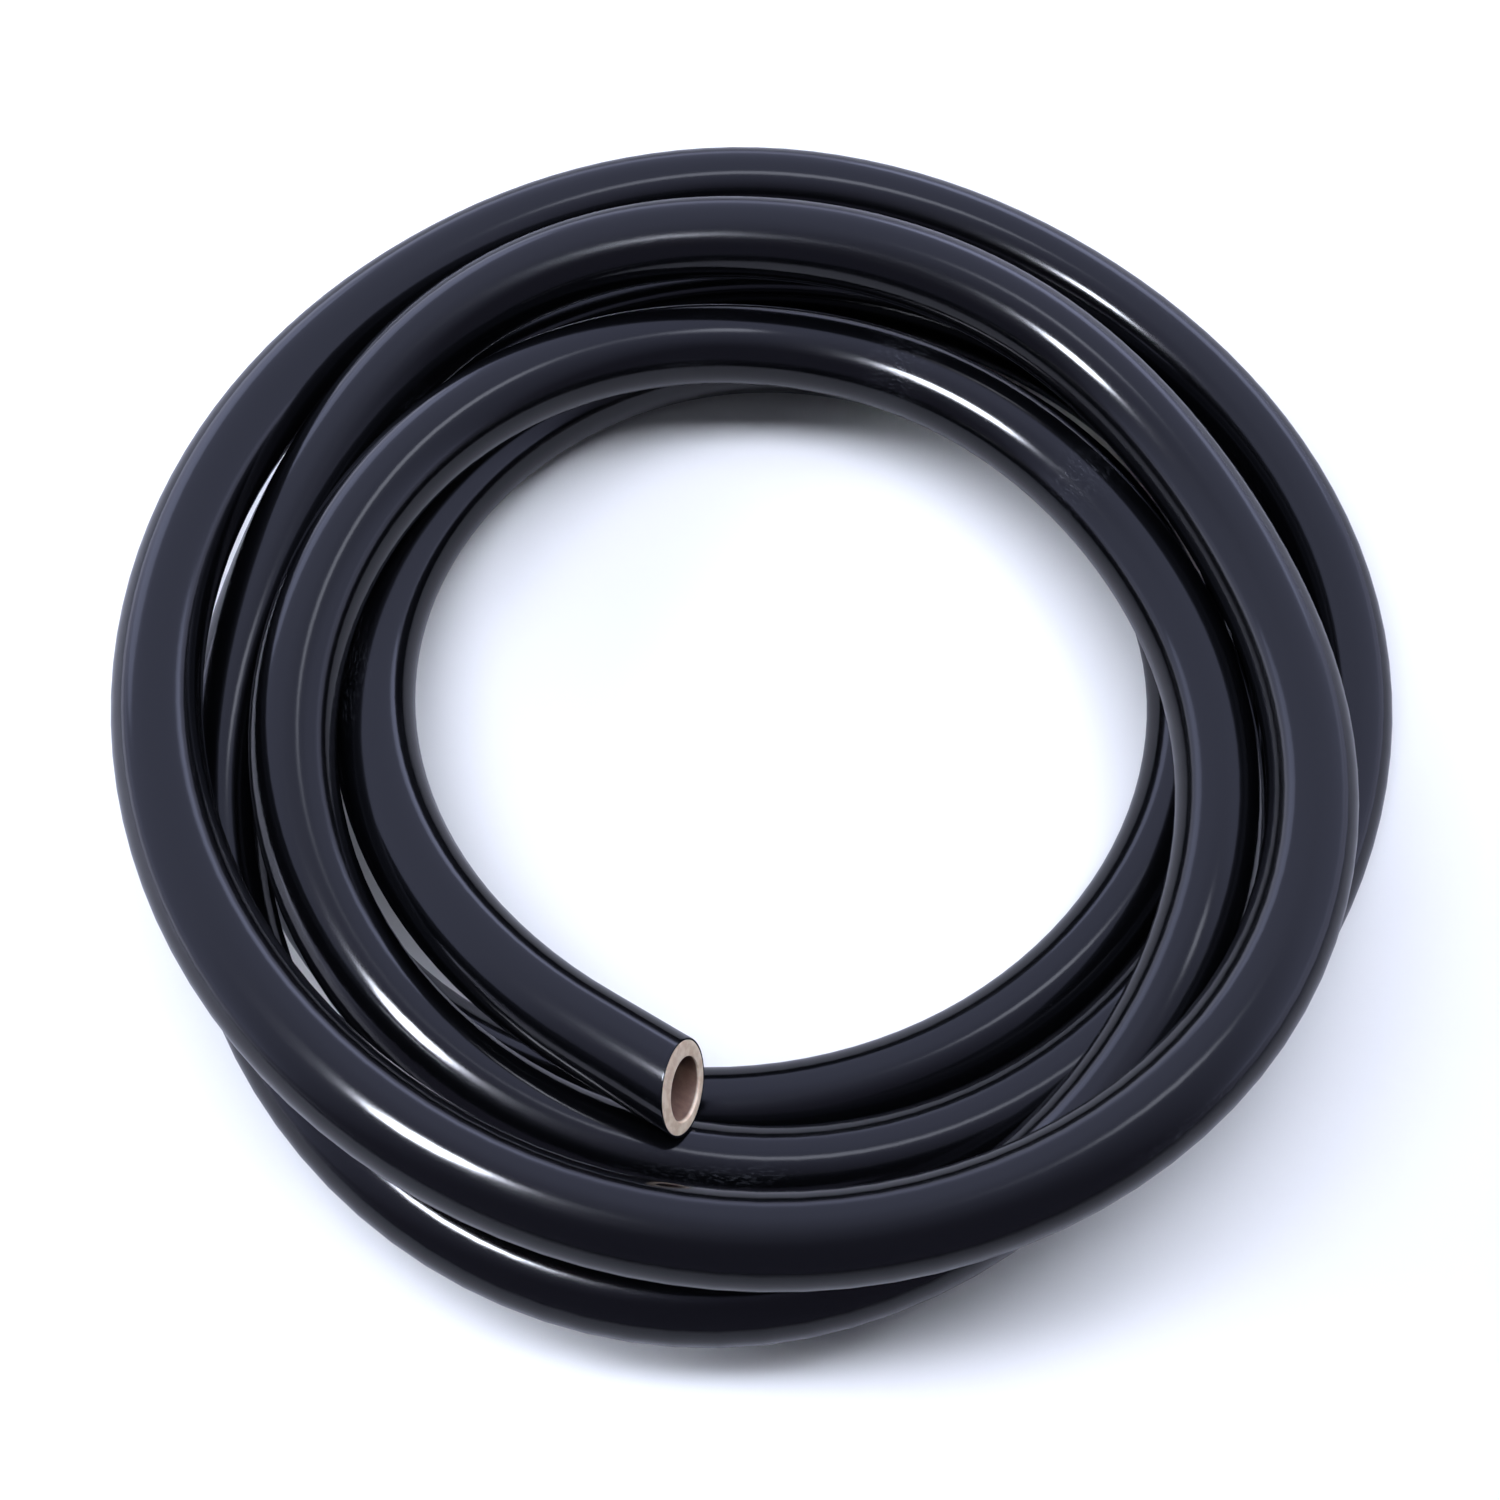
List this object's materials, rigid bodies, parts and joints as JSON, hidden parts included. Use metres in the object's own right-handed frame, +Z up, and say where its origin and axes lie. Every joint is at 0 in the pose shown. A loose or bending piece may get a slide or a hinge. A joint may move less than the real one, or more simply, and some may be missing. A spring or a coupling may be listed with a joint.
{
  "type": "soaker hose",
  "caption": "Plain length of glossy black hose with a tan inner tube, lying in a loose flattened coil, its ends cut bare.",
  "frame": {"origin": "middle of the coil's footprint, on the surface it lies on", "axes": "+Z up, through the eye of the coil; -Y is the front, where the slanted cut end shows"},
  "size_m": [0.2896, 0.3006, 0.0622],
  "materials": {
    "hose_cover": "glossy",
    "hose_core": "matte"
  },
  "bodies": {
    "root": {"hose_cover": "hose_cover", "hose_core": "hose_core"}
  },
  "joints": []
}
